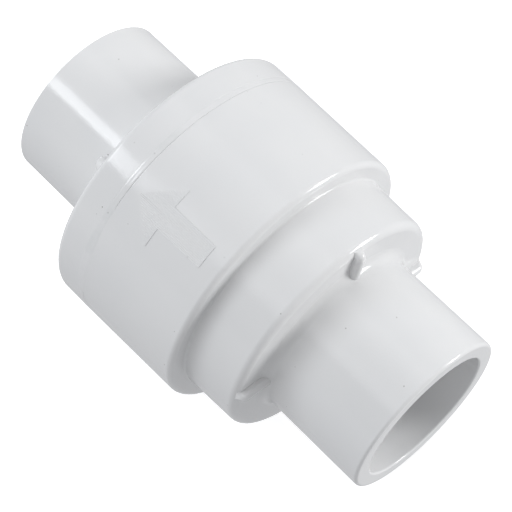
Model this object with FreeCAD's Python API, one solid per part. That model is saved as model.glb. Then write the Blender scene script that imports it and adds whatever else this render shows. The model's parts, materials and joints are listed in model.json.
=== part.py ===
# Spring check valve for solvent-welded pipe, modelled as the separate pieces it is put together from.
#
# Millimetres. +X is the way the water flows, +Z is up, and the origin is the centre of the inlet
# socket's mouth. Everything is stored with the valve shut: the spring holds the poppet on its seat,
# and the poppet opens by sliding LIFT along +X.

import FreeCAD, Part
import math
import os

Vector = FreeCAD.Vector
ORIGIN = Vector(0, 0, 0)
FLOW = Vector(1, 0, 0)

# Pipe sizes: each end is a socket for 48.3 mm pipe inside a spigot for 60.3 mm fittings.
SPIGOT_R = 30.16
SOCKET_R = 24.20
SOCKET_DEPTH = 35.0
THROAT_R = 20.5
LIP_ROUND = 0.7

# Outside of the inlet body, from the inlet mouth towards the seam.
BOSS_FACE_X = 41.8
STEP_FACE_X = 63.6
BODY_END_X = 104.7
BOSS_FACE_R = 42.8
BOSS_ROOT_R = 43.4
BODY_STEP_R = 49.6
BODY_END_R = 50.1
INLET_ROOT_ROUND = 3.5
STEP_ROOT_ROUND = 0.8

# Outside of the outlet cap, from the seam towards the outlet mouth.
CAP_FACE_X = 106.8
CAP_BACK_X = 117.9
CAP_R = 50.1
OUTLET_X = 159.3
OUTLET_ROOT_ROUND = 5.8

# Stiffening ribs round each stub: first angle from +Z towards -Y, and the size of one rib.
INLET_RIBS = {"angle": 13.5, "thick": 3.6, "high": 2.8, "end_r": 42.0}
CAP_RIBS = {"angle": -36.0, "thick": 4.6, "high": 5.6, "end_r": 45.4}
RIB_COUNT = 4

# Flow arrow raised on the body, its middle at ARROW_ANGLE from +Z towards -Y.
ARROW_ANGLE = -31.0
ARROW_PROUD = 0.3
ARROW_TAIL_X = 71.1
ARROW_NECK_X = 89.3
ARROW_TIP_X = 101.1
ARROW_HEAD_WIDE = 23.7
ARROW_SHAFT_WIDE = 8.7

# Inside of the two mouldings.
SEAT_WALL_X = 46.5
SEAT_TOP_X = 54.0
SEAT_R = 25.0
BOSS_CHAMBER_R = 37.5
CHAMBER_STEP_X = 68.0
CHAMBER_R = 44.3
COUNTERBORE_R = 46.0
LEDGE_X = 92.0
PLUG_X = 96.0
PLUG_BORE_R = 40.5
FUNNEL_START_X = 103.0
FUNNEL_END_X = 116.0

# Stem, poppet and the pieces clamped on the stem.
LIFT = 12.0
STEM_R = 3.0
STEM_HOLE_R = 3.05
STEM_FRONT_X = 41.5
STEM_REAR_X = 108.0
COLLAR_R = 6.0
SEAL_THICK = 3.0
SEAL_R = 26.0
DISC_R = 27.0
DISC_THICK = 4.0
DISC_HUB_R = 8.2
DISC_HUB_HIGH = 3.0
CLAMP_R = 19.6
CLAMP_THICK = 4.0
WING_R = 20.2
WING_ROOT_R = 8.0
WING_FRONT_X = 36.0
WING_THICK = 2.2
WASHER_R = 6.0
WASHER_THICK = 1.6
NUT_FLATS = 10.0
NUT_HEX_HIGH = 4.5
NUT_CROWN_HIGH = 1.6
INSERT_R = 4.0
INSERT_HIGH = 1.4
CLIP_R = 5.6
CLIP_THICK = 0.9
CLIP_X = 105.05

# Outlet guide, its bush, and the spring.
GUIDE_RING_BORE_R = 40.0
GUIDE_RING_R = 45.8
GUIDE_HUB_R = 8.0
GUIDE_HUB_X = 83.5
GUIDE_HUB_END_X = 104.0
VANE_THICK = 3.0
VANE_COUNT = 4
VANE_ROOT_X = 101.0
BUSH_R = 5.0
BUSH_FLANGE_R = 7.2
BUSH_FLANGE_X = 82.0
REST_WASHER_THICK = 1.0
REST_WASHER_R = 13.5
WIRE_R = 0.7
COIL_R = 10.3
COIL_TURNS = 7
CUP_R = 12.3
CUP_SHEET = 0.8
CUP_HIGH = 3.0

# Clearances.
RUN_GAP = 0.08
FREE_GAP = 0.3
TOUCH_GAP = 0.05


def rounded_wire(corners, place):
    """Closed wire of straight runs through (u, v, rounding) corners, with each corner an arc."""
    points = [place(u, v) for u, v, _ in corners]
    starts = []
    ends = []
    middles = []
    count = len(points)
    for i, (_, _, rounding) in enumerate(corners):
        back = (points[i - 1] - points[i]).normalize()
        onward = (points[(i + 1) % count] - points[i]).normalize()
        half = back.getAngle(onward) / 2
        reach = rounding / math.tan(half)
        inward = (back + onward).normalize()
        starts.append(points[i] + back * reach)
        ends.append(points[i] + onward * reach)
        middles.append(points[i] + inward * (rounding / math.sin(half) - rounding))
    edges = []
    for i in range(count):
        if corners[i][2] > 0:
            edges.append(Part.Arc(starts[i], middles[i], ends[i]).toShape())
        run_end = starts[(i + 1) % count]
        if ends[i].distanceToPoint(run_end) > 1e-6:
            edges.append(Part.LineSegment(ends[i], run_end).toShape())
    return Part.Wire(edges)


def turned(corners):
    """Solid turned about the flow axis from (x, radius, rounding) corners."""
    wire = rounded_wire(corners, lambda x, r: Vector(x, 0, r))
    solid = Part.Face(wire).revolve(ORIGIN, FLOW, 360)
    if solid.Volume < 0:
        solid.reverse()
    return solid


def ring(x0, x1, inner_r, outer_r, rounding=0.0):
    """Plain turned ring between two stations."""
    return turned([
        (x0, inner_r, 0),
        (x0, outer_r, rounding),
        (x1, outer_r, rounding),
        (x1, inner_r, 0),
    ])


def rod(x0, x1, r):
    """Plain cylinder on the flow axis."""
    return Part.makeCylinder(r, x1 - x0, Vector(x0, 0, 0), FLOW)


def plate(corners, thick):
    """Flat plate across +Y, thick millimetres through, from (x, radius, rounding) corners."""
    wire = rounded_wire(corners, lambda x, r: Vector(x, -thick / 2, r))
    return Part.Face(wire).extrude(Vector(0, thick, 0))


def spaced(shape, first_angle, count):
    """Copies of a shape spaced evenly round the flow axis, from an angle from +Z towards -Y."""
    copies = []
    for i in range(count):
        turn = first_angle + i * 360.0 / count
        copies.append(shape.copy().rotate(ORIGIN, FLOW, turn))
    return copies


def joined(shapes):
    """One clean solid from overlapping solids."""
    whole = shapes[0].multiFuse(shapes[1:]).removeSplitter()
    return whole.Solids[0]


def rib(face_x, direction, size):
    """One stiffening rib standing on a stub and on the face behind it, with a rounded crest."""
    crest_x = face_x + direction * size["high"]
    root_x = face_x - direction
    foot_r = SPIGOT_R - 1.0
    blade = plate([
        (root_x, foot_r, 0),
        (crest_x, foot_r, 0),
        (crest_x, size["end_r"], size["high"] * 0.95),
        (root_x, size["end_r"], 0),
    ], size["thick"])
    crest = []
    for edge in blade.Edges:
        middle = edge.CenterOfMass
        along = edge.tangentAt(edge.FirstParameter)
        on_side = abs(abs(middle.y) - size["thick"] / 2) < 1e-6
        on_crest = abs(middle.x - crest_x) < 1e-6 and abs(along.z) > 0.9
        on_round = abs(edge.Length - size["high"] * 0.95 * math.pi / 2) < 1e-6
        if on_side and (on_crest or on_round):
            crest.append(edge)
    return blade.makeFillet(size["thick"] * 0.48, crest)


def body_outer_r(x):
    """Outside radius of the body's barrel, which tapers a little for the mould."""
    share = (x - STEP_FACE_X) / (BODY_END_X - STEP_FACE_X)
    return BODY_STEP_R + share * (BODY_END_R - BODY_STEP_R)


def flow_arrow():
    """Raised arrow pointing the way the water flows, following the barrel's surface."""
    half_head = ARROW_HEAD_WIDE / 2
    half_shaft = ARROW_SHAFT_WIDE / 2
    corners = [
        (ARROW_TAIL_X, -half_shaft, 0.4),
        (ARROW_NECK_X, -half_shaft, 0.3),
        (ARROW_NECK_X, -half_head, 0.5),
        (ARROW_TIP_X, 0, 0.5),
        (ARROW_NECK_X, half_head, 0.5),
        (ARROW_NECK_X, half_shaft, 0.3),
        (ARROW_TAIL_X, half_shaft, 0.4),
    ]
    wire = rounded_wire(corners, lambda x, y: Vector(x, y, CHAMBER_R))
    block = Part.Face(wire).extrude(Vector(0, 0, BODY_END_R - CHAMBER_R + 2))
    sheath = turned([
        (ARROW_TAIL_X - 1, COUNTERBORE_R, 0),
        (ARROW_TAIL_X - 1, body_outer_r(ARROW_TAIL_X - 1) + ARROW_PROUD, 0),
        (ARROW_TIP_X + 1, body_outer_r(ARROW_TIP_X + 1) + ARROW_PROUD, 0),
        (ARROW_TIP_X + 1, COUNTERBORE_R, 0),
    ])
    return spaced(block.common(sheath), ARROW_ANGLE, 1)[0]


def inlet_body():
    """Inlet stub, boss, barrel and seat, moulded in one piece."""
    shell = turned([
        (0, SOCKET_R, LIP_ROUND),
        (0, SPIGOT_R, 1.2),
        (BOSS_FACE_X, SPIGOT_R, INLET_ROOT_ROUND),
        (BOSS_FACE_X, BOSS_FACE_R, 2.8),
        (STEP_FACE_X, BOSS_ROOT_R, STEP_ROOT_ROUND),
        (STEP_FACE_X, BODY_STEP_R, 2.0),
        (BODY_END_X, BODY_END_R, 0.3),
        (BODY_END_X, COUNTERBORE_R, 0),
        (LEDGE_X, COUNTERBORE_R, 0),
        (LEDGE_X, CHAMBER_R, 0.4),
        (CHAMBER_STEP_X, CHAMBER_R, 2.0),
        (CHAMBER_STEP_X, BOSS_CHAMBER_R, 1.0),
        (SEAT_WALL_X, BOSS_CHAMBER_R, 2.0),
        (SEAT_WALL_X, SEAT_R, 1.0),
        (SEAT_TOP_X - 1.5, SEAT_R, 0.5),
        (SEAT_TOP_X - 1.5, SEAT_R - 1.4, 0.3),
        (SEAT_TOP_X - TOUCH_GAP, SEAT_R - 1.6, 0.8),
        (SEAT_TOP_X - TOUCH_GAP, THROAT_R + 1.0, 0.8),
        (SEAT_TOP_X - 1.5, THROAT_R, 0.3),
        (SOCKET_DEPTH, THROAT_R, 0.5),
        (SOCKET_DEPTH, SOCKET_R, 0.3),
    ])
    ribs = spaced(rib(BOSS_FACE_X, -1, INLET_RIBS), INLET_RIBS["angle"], RIB_COUNT)
    return joined([shell, flow_arrow()] + ribs)


def outlet_cap():
    """Cap flange with its plug into the body and its outlet stub, moulded in one piece."""
    socket_end_x = OUTLET_X - SOCKET_DEPTH
    shell = turned([
        (OUTLET_X, SOCKET_R, LIP_ROUND),
        (OUTLET_X, SPIGOT_R, 0.4),
        (CAP_BACK_X, SPIGOT_R, OUTLET_ROOT_ROUND),
        (CAP_BACK_X, CAP_R, 2.2),
        (CAP_FACE_X, CAP_R, 0.4),
        (CAP_FACE_X, COUNTERBORE_R - TOUCH_GAP, 0),
        (PLUG_X, COUNTERBORE_R - TOUCH_GAP, 0.5),
        (PLUG_X, PLUG_BORE_R, 0.5),
        (FUNNEL_START_X, PLUG_BORE_R, 2.0),
        (FUNNEL_END_X, THROAT_R, 3.0),
        (socket_end_x, THROAT_R, 0.5),
        (socket_end_x, SOCKET_R, 0.3),
    ])
    ribs = spaced(rib(CAP_BACK_X, 1, CAP_RIBS), CAP_RIBS["angle"], RIB_COUNT)
    return joined([shell] + ribs)


def cement_bead():
    """Ring of cured cement squeezed out between the body and the cap."""
    return turned([
        (BODY_END_X, COUNTERBORE_R, 0),
        (BODY_END_X, BODY_END_R - 0.2, 0),
        (BODY_END_X + 0.4, BODY_END_R + 0.1, 0.3),
        (CAP_FACE_X - 0.4, BODY_END_R + 0.1, 0.3),
        (CAP_FACE_X, BODY_END_R - 0.2, 0),
        (CAP_FACE_X, COUNTERBORE_R, 0),
    ])


def outlet_guide():
    """Ring, vanes and hub that carry the stem, trapped between the body's ledge and the cap's plug."""
    rim = ring(LEDGE_X, PLUG_X, GUIDE_RING_BORE_R, GUIDE_RING_R, 0.5)
    hub = turned([
        (GUIDE_HUB_X, BUSH_R, 0),
        (GUIDE_HUB_X, GUIDE_HUB_R, 0.5),
        (GUIDE_HUB_END_X, GUIDE_HUB_R, 1.0),
        (GUIDE_HUB_END_X, BUSH_R, 0),
    ])
    vane = plate([
        (LEDGE_X, GUIDE_HUB_R - 1, 0),
        (LEDGE_X, GUIDE_RING_BORE_R + FREE_GAP, 0),
        (PLUG_X, GUIDE_RING_BORE_R + FREE_GAP, 0),
        (VANE_ROOT_X, GUIDE_HUB_R - 1, 0),
    ], VANE_THICK)
    return joined([rim, hub] + spaced(vane, 45, VANE_COUNT))


def guide_bush():
    """Flanged plain bearing pressed into the guide's hub; its flange is the poppet's open stop."""
    bore_r = STEM_R + RUN_GAP
    return turned([
        (BUSH_FLANGE_X, bore_r, 0.3),
        (BUSH_FLANGE_X, BUSH_FLANGE_R, 0.3),
        (GUIDE_HUB_X, BUSH_FLANGE_R, 0.3),
        (GUIDE_HUB_X, BUSH_R, 0),
        (GUIDE_HUB_END_X - 1, BUSH_R, 0.3),
        (GUIDE_HUB_END_X - 1, bore_r, 0.3),
    ])


def rest_washer():
    """Thin washer round the hub that keeps the spring off the plastic vanes."""
    return ring(LEDGE_X - REST_WASHER_THICK, LEDGE_X, GUIDE_HUB_R + FREE_GAP, REST_WASHER_R, 0.2)


def poppet_seal():
    """Rubber disc that closes on the seat."""
    return ring(SEAT_TOP_X, SEAT_TOP_X + SEAL_THICK, STEM_HOLE_R, SEAL_R, 0.8)


def poppet_disc():
    """Backing disc behind the seal, with the hub that the spring cup sits round."""
    front_x = SEAT_TOP_X + SEAL_THICK
    back_x = front_x + DISC_THICK
    return turned([
        (front_x, STEM_HOLE_R, 0),
        (front_x, DISC_R, 0.6),
        (back_x, DISC_R, 2.0),
        (back_x, DISC_HUB_R, 0),
        (back_x + DISC_HUB_HIGH, DISC_HUB_R, 0.6),
        (back_x + DISC_HUB_HIGH, STEM_HOLE_R, 0),
    ])


def wing_guide():
    """Clamp plate in front of the seal, with the wings that slide in the throat."""
    back_x = SEAT_TOP_X
    front_x = back_x - CLAMP_THICK
    clamp = ring(front_x, back_x, STEM_HOLE_R, CLAMP_R, 0.6)
    wing = plate([
        (front_x + 1, WING_ROOT_R, 0),
        (front_x + 1, WING_R, 0),
        (WING_FRONT_X, WING_R, 2.0),
        (WING_FRONT_X, WING_ROOT_R, 2.0),
    ], WING_THICK)
    whole = joined([clamp] + spaced(wing, 0, RIB_COUNT))
    return whole.common(rod(WING_FRONT_X - 1, back_x + 1, WING_R)).Solids[0]


def stem():
    """Turned stem: threaded front end, clamping collar, guided rod and clip groove."""
    collar_x = SEAT_TOP_X + SEAL_THICK + DISC_THICK + DISC_HUB_HIGH
    collar_end_x = BUSH_FLANGE_X - LIFT - 2 * TOUCH_GAP
    groove_end_x = CLIP_X + CLIP_THICK
    groove_r = STEM_R - 0.5
    return turned([
        (STEM_FRONT_X, 0, 0),
        (STEM_FRONT_X, STEM_R - 0.5, 0),
        (STEM_FRONT_X + 0.5, STEM_R, 0),
        (collar_x, STEM_R, 0),
        (collar_x, COLLAR_R, 0.4),
        (collar_end_x, COLLAR_R, 0.4),
        (collar_end_x, STEM_R, 0.3),
        (CLIP_X, STEM_R, 0),
        (CLIP_X, groove_r, 0),
        (groove_end_x, groove_r, 0),
        (groove_end_x, STEM_R, 0),
        (STEM_REAR_X - 0.5, STEM_R, 0),
        (STEM_REAR_X, STEM_R - 0.5, 0),
        (STEM_REAR_X, 0, 0),
    ])


def front_washer():
    """Washer under the lock nut."""
    back_x = SEAT_TOP_X - CLAMP_THICK
    return ring(back_x - WASHER_THICK, back_x, STEM_HOLE_R, WASHER_R, 0.2)


def nut_stations():
    """Back face, hexagon's front and crown's front of the lock nut."""
    back_x = SEAT_TOP_X - CLAMP_THICK - WASHER_THICK
    hex_x = back_x - NUT_HEX_HIGH
    return back_x, hex_x, hex_x - NUT_CROWN_HIGH


def lock_nut():
    """Hexagon nut with a round crown that holds a nylon insert."""
    back_x, hex_x, crown_x = nut_stations()
    corner_r = NUT_FLATS / math.sqrt(3)
    corners = [Vector(back_x, 0, corner_r)]
    for i in range(1, 7):
        angle = math.radians(60 * i)
        corners.append(Vector(back_x, corner_r * math.sin(angle), corner_r * math.cos(angle)))
    hexagon = Part.Face(Part.makePolygon(corners)).extrude(Vector(hex_x - back_x, 0, 0))
    chamfer = turned([
        (hex_x, 0, 0),
        (hex_x, NUT_FLATS / 2, 0),
        (hex_x + 0.5, corner_r, 0),
        (back_x - 0.5, corner_r, 0),
        (back_x, NUT_FLATS / 2, 0),
        (back_x, 0, 0),
    ])
    crown = ring(crown_x, hex_x + 0.2, STEM_HOLE_R, INSERT_R + 0.6, 0.3)
    whole = joined([hexagon.common(chamfer), crown])
    bore = rod(crown_x - 1, back_x + 1, STEM_HOLE_R)
    pocket = rod(crown_x + 0.2, crown_x + 0.2 + INSERT_HIGH, INSERT_R)
    return whole.cut(bore).cut(pocket).Solids[0]


def lock_nut_insert():
    """Nylon ring held in the nut's crown, which grips the stem's thread."""
    crown_x = nut_stations()[2]
    return ring(crown_x + 0.2, crown_x + 0.2 + INSERT_HIGH, STEM_HOLE_R, INSERT_R)


def stem_clip():
    """Open clip in the stem's groove that keeps the stem from drawing out of the guide."""
    disc = ring(CLIP_X, CLIP_X + CLIP_THICK, STEM_R - 0.5, CLIP_R)
    mouth = Part.makeBox(CLIP_THICK + 2, 4.2, CLIP_R + 1, Vector(CLIP_X - 1, -2.1, 0))
    windows = [rod(CLIP_X - 1, CLIP_X + CLIP_THICK + 1, 0.9).translate(Vector(0, side * 3.6, -1.6))
               for side in (-1, 1)]
    clip = disc.cut(mouth)
    for window in windows:
        clip = clip.cut(window)
    return clip.Solids[0]


def spring_cup():
    """Pressed cup between the spring and the poppet, which lets the poppet turn under the spring."""
    floor_x = SEAT_TOP_X + SEAL_THICK + DISC_THICK + TOUCH_GAP
    return turned([
        (floor_x, DISC_HUB_R + FREE_GAP, 0),
        (floor_x, CUP_R, 0.7),
        (floor_x + CUP_HIGH, CUP_R, 0.2),
        (floor_x + CUP_HIGH, CUP_R - CUP_SHEET, 0.2),
        (floor_x + CUP_SHEET, CUP_R - CUP_SHEET, 0.3),
        (floor_x + CUP_SHEET, DISC_HUB_R + FREE_GAP, 0),
    ])


def spring():
    """Compression spring with closed ends, wound from half turns that each tilt to climb their share."""
    first_x = SEAT_TOP_X + SEAL_THICK + DISC_THICK + TOUCH_GAP + CUP_SHEET + WIRE_R + TOUCH_GAP
    last_x = LEDGE_X - REST_WASHER_THICK - WIRE_R - TOUCH_GAP
    end_climb = 2 * WIRE_R + TOUCH_GAP
    open_halves = 2 * COIL_TURNS - 4
    open_climb = (last_x - first_x - 2 * end_climb) / open_halves
    climbs = [0, end_climb] + [open_climb] * open_halves + [end_climb, 0]
    x = first_x
    side = 1
    halves = []
    for climb in climbs:
        start = Vector(x, side * COIL_R, 0)
        centre = Vector(x + climb / 2, 0, 0)
        axis = Vector(COIL_R, side * climb / 2, 0)
        section = Part.Face(Part.Wire(Part.makeCircle(WIRE_R, start, Vector(0, 0, 1))))
        halves.append(section.revolve(centre, axis, 180))
        x += climb
        side = -side
    return joined(halves)


PIECES = {
    "inlet_body": inlet_body,
    "outlet_cap": outlet_cap,
    "cement_bead": cement_bead,
    "outlet_guide": outlet_guide,
    "guide_bush": guide_bush,
    "rest_washer": rest_washer,
    "spring": spring,
    "spring_cup": spring_cup,
    "poppet_disc": poppet_disc,
    "poppet_seal": poppet_seal,
    "wing_guide": wing_guide,
    "stem": stem,
    "front_washer": front_washer,
    "lock_nut": lock_nut,
    "lock_nut_insert": lock_nut_insert,
    "stem_clip": stem_clip,
}

os.makedirs("parts", exist_ok=True)
for name, make in PIECES.items():
    shape = make()
    print(name, "valid" if shape.isValid() else "NOT VALID", len(shape.Solids), round(shape.Volume, 1))
    shape.exportStep("parts/" + name + ".step")
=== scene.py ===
import bmesh
import bpy
import json
import math
from mathutils import Matrix, Vector, noise


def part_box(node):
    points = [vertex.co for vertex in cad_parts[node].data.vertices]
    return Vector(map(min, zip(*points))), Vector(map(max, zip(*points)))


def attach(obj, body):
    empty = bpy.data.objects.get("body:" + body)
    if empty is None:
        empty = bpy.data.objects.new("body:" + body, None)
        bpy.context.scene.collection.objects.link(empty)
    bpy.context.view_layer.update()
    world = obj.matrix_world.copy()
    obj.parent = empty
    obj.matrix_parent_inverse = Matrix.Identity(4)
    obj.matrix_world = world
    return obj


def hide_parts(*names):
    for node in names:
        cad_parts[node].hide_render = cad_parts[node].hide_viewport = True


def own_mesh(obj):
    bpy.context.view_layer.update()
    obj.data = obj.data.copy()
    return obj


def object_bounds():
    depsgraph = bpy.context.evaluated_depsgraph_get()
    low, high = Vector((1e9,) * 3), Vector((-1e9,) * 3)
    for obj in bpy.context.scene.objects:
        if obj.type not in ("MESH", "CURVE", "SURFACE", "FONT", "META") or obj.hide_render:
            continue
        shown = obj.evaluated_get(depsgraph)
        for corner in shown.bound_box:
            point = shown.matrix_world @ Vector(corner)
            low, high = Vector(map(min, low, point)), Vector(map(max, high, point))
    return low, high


# Spring check valve in white PVC. Pieces are modelled in millimetres and scaled to metres when they
# are finished. +X is the way the water flows, +Z is up, and the inlet mouth's centre is the origin.

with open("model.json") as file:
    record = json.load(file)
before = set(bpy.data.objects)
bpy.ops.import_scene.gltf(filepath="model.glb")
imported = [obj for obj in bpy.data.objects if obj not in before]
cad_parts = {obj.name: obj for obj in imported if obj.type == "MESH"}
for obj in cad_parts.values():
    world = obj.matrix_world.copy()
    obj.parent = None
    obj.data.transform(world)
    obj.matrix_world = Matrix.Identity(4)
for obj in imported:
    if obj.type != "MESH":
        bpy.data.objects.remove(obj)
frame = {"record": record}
cad_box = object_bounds()

MM = 0.001
FLOW = Vector((1, 0, 0))
ORIGIN = Vector((0, 0, 0))
record = frame["record"]
mounts = {mount["name"]: mount for mount in record["mounts"]}


def low_x(node):
    """Where a CAD node starts along the flow, in millimetres."""
    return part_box(node)[0].x / MM


def high_x(node):
    """Where a CAD node ends along the flow, in millimetres."""
    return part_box(node)[1].x / MM


def high_r(node):
    """A round CAD node's outside radius, in millimetres."""
    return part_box(node)[1].z / MM


# Sizes shared by the two mouldings, from the frame.
SPIGOT_R = mounts["inlet_spigot"]["dims"]["r_mm"]
SOCKET_R = mounts["inlet_socket"]["dims"]["r_mm"]
OUTLET_X = high_x("outlet_cap")
BODY_END_X = high_x("inlet_body")
CAP_FACE_X = high_x("cement_bead")
PLUG_X = low_x("outlet_cap")
SEAT_TOP_X = low_x("poppet_seal")
CAP_R = high_r("outlet_cap")
BODY_END_R = CAP_R
SOCKET_DEPTH = 35.0
THROAT_R = 20.5
LIP_ROUND = 0.7

# Outside of the two mouldings.
BOSS_FACE_X = 41.8
STEP_FACE_X = 63.6
BOSS_FACE_R = 42.8
BOSS_ROOT_R = 43.4
BODY_STEP_R = 49.6
CAP_BACK_X = 117.9
INLET_ROOT_ROUND = 3.5
STEP_ROOT_ROUND = 0.8
OUTLET_ROOT_ROUND = 5.8

# Inside of the two mouldings.
SEAT_WALL_X = 46.5
SEAT_R = 25.0
BOSS_CHAMBER_R = 37.5
CHAMBER_STEP_X = 68.0
CHAMBER_R = 44.3
COUNTERBORE_R = 46.0
PLUG_BORE_R = 40.5
FUNNEL_START_X = 103.0
FUNNEL_END_X = 116.0

# Ribs: first angle from +Z towards -Y, and the size of one rib.
INLET_RIBS = {"angle": 13.5, "thick": 3.6, "high": 2.8, "end_r": 42.0}
CAP_RIBS = {"angle": -36.0, "thick": 4.6, "high": 5.6, "end_r": 45.4}
RIB_COUNT = 4

# Raised flow arrow.
ARROW_ANGLE = -31.0
ARROW_PROUD = 0.2
ARROW_SUNK = 0.5
ARROW_RIM = 0.12
ARROW_RIM_DROP = 0.05
ARROW_TAIL_X = 71.1
ARROW_NECK_X = 89.3
ARROW_TIP_X = 101.1
ARROW_HEAD_WIDE = 23.7
ARROW_SHAFT_WIDE = 8.7
TOOL_LINE_PITCH = 0.62
TOOL_LINE_DEPTH = 0.09

# How far the cement reaches from the middle of the seam.
BEAD_REACH = 0.9

# Stem, poppet and the pieces clamped on the stem.
STEM_R = 3.0
STEM_HOLE_R = 3.05
STEM_FRONT_X = low_x("stem")
STEM_REAR_X = high_x("stem")
COLLAR_X = low_x("spring_cup") + 2.95
COLLAR_END_X = low_x("guide_bush") - 12.1
COLLAR_R = 6.0
THREAD_PITCH = 1.0
THREAD_DEPTH = 0.5
THREAD_TURNS = 8
DISC_FRONT_X = low_x("poppet_disc")
DISC_BACK_X = low_x("spring_cup") - 0.05
DISC_R = high_r("poppet_disc")
DISC_HUB_R = 8.2
GROOVE_OUTER_R = 23.0
GROOVE_INNER_R = 14.0
GROOVE_SLOPE = 0.6
GROOVE_DEPTH = 0.4
SEAL_R = high_r("poppet_seal")
CLAMP_FRONT_X = high_x("front_washer")
CLAMP_R = 19.6
WING_FRONT_X = low_x("wing_guide")
WING_R = high_r("wing_guide")
WING_ROOT_R = 8.0
WING_THICK = 2.2
WING_COUNT = 4
NUT_BACK_X = high_x("lock_nut")
NUT_CROWN_X = low_x("lock_nut")
NUT_HEX_X = NUT_CROWN_X + 1.6
NUT_FLATS = 10.0
INSERT_R = 4.0
CLIP_X = low_x("stem_clip")
CLIP_THICK = high_x("stem_clip") - CLIP_X
CLIP_R = 5.6
CLIP_MOUTH = 4.2

# Outlet guide, its bush, and the spring.
GUIDE_RING_BORE_R = 40.0
GUIDE_RING_R = high_r("outlet_guide")
GUIDE_HUB_R = 8.0
GUIDE_HUB_X = low_x("outlet_guide")
GUIDE_HUB_END_X = high_x("outlet_guide")
GUIDE_LEDGE_X = high_x("rest_washer")
VANE_THICK = 3.0
VANE_COUNT = 4
VANE_ROOT_X = 101.0
BUSH_R = 5.0
BUSH_FLANGE_R = high_r("guide_bush")
BUSH_FLANGE_X = low_x("guide_bush")
BUSH_BORE_R = 3.08
REST_WASHER_R = high_r("rest_washer")
REST_WASHER_THICK = 1.0
WIRE_R = 0.7
COIL_R = 10.3
COIL_TURNS = 7
COIL_REST = 0.35
COIL_RISE = 0.7
CUP_R = high_r("spring_cup")
CUP_SHEET = 0.8
CUP_X = low_x("spring_cup")
CUP_END_X = high_x("spring_cup")

ROUND_STEPS = 192
SMALL_STEPS = 96
TURN_STEPS = 48
CORNER_SEGMENTS = 6
SHARP_TURN = math.radians(38)


# ---------------------------------------------------------------- shaping

def outline(bm, corners, segments=CORNER_SEGMENTS):
    """Closed loop in the XZ plane through (x, radius, rounding) corners, with each corner an arc."""
    points = [Vector((x, 0, r)) for x, r, _ in corners]
    verts = [bm.verts.new(point) for point in points]
    for first, second in zip(verts, verts[1:] + verts[:1]):
        bm.edges.new((first, second))
    count = len(points)
    for i, (_, _, rounding) in enumerate(corners):
        if rounding > 0:
            back = points[i - 1] - points[i]
            onward = points[(i + 1) % count] - points[i]
            reach = rounding / math.tan(back.angle(onward) / 2)
            bmesh.ops.bevel(bm, geom=[verts[i]], offset=reach, offset_type="OFFSET", segments=segments,
                            profile=0.5, affect="VERTICES", material=-1)


def spun(corners, steps=ROUND_STEPS, segments=CORNER_SEGMENTS):
    """Bmesh of an outline spun right round the flow axis."""
    bm = bmesh.new()
    outline(bm, corners, segments)
    bmesh.ops.spin(bm, geom=bm.verts[:] + bm.edges[:], cent=ORIGIN, axis=FLOW, dvec=ORIGIN,
                   angle=math.tau, steps=steps, use_merge=True)
    bmesh.ops.remove_doubles(bm, verts=bm.verts[:], dist=1e-4)
    bmesh.ops.recalc_face_normals(bm, faces=bm.faces[:])
    return bm


def turn_about_flow(bm, verts, degrees):
    """Turn vertices about the flow axis, from +Z towards -Y."""
    bmesh.ops.rotate(bm, verts=verts, cent=ORIGIN, matrix=Matrix.Rotation(math.radians(degrees), 3, "X"))


def add_in(bm, other):
    """Add another bmesh's shape to this one."""
    mesh = bpy.data.meshes.new("added")
    other.to_mesh(mesh)
    other.free()
    bm.from_mesh(mesh)
    bpy.data.meshes.remove(mesh)


def finished(bm, name, body, slot, material, *nodes):
    """Turn a bmesh in millimetres into a piece in metres that rides on a body and stands for CAD nodes."""
    bmesh.ops.scale(bm, vec=(MM, MM, MM), verts=bm.verts[:])
    for face in bm.faces:
        face.smooth = True
    for edge in bm.edges:
        edge.smooth = edge.calc_face_angle(0) < SHARP_TURN
    mesh = bpy.data.meshes.new(name)
    bm.to_mesh(mesh)
    bm.free()
    mesh.materials.append(material)
    piece = bpy.data.objects.new(name, mesh)
    bpy.context.scene.collection.objects.link(piece)
    normals = piece.modifiers.new("even_shading", "WEIGHTED_NORMAL")
    normals.weight = 80
    normals.keep_sharp = True
    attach(piece, body)
    if nodes:
        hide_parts(*nodes)
    return piece


def slab(corners, thick, segments=CORNER_SEGMENTS):
    """Flat closed piece, centred across Y, from (x, radius, rounding) corners."""
    bm = bmesh.new()
    outline(bm, corners, segments)
    thickened(bm, Vector((0, thick, 0)))
    return bm


def thickened(bm, across):
    """Fill a flat outline and give it a thickness, half to each side."""
    sheet = bmesh.ops.contextual_create(bm, geom=bm.edges[:])["faces"]
    grown = bmesh.ops.extrude_face_region(bm, geom=sheet)["geom"]
    moved = [item for item in grown if isinstance(item, bmesh.types.BMVert)]
    bmesh.ops.translate(bm, verts=moved, vec=across)
    bmesh.ops.translate(bm, verts=bm.verts[:], vec=across * -0.5)
    bmesh.ops.recalc_face_normals(bm, faces=bm.faces[:])


def rounded(bm, edges, reach, segments=3):
    """Round edges off."""
    bmesh.ops.bevel(bm, geom=edges, offset=reach, offset_type="OFFSET", segments=segments,
                    profile=0.5, affect="EDGES", material=-1)


def rims(bm):
    """Edges where a flat piece's two faces meet its walls."""
    return [edge for edge in bm.edges if edge.calc_face_angle(0) > 1.2]


# ---------------------------------------------------------------- mouldings

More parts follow.
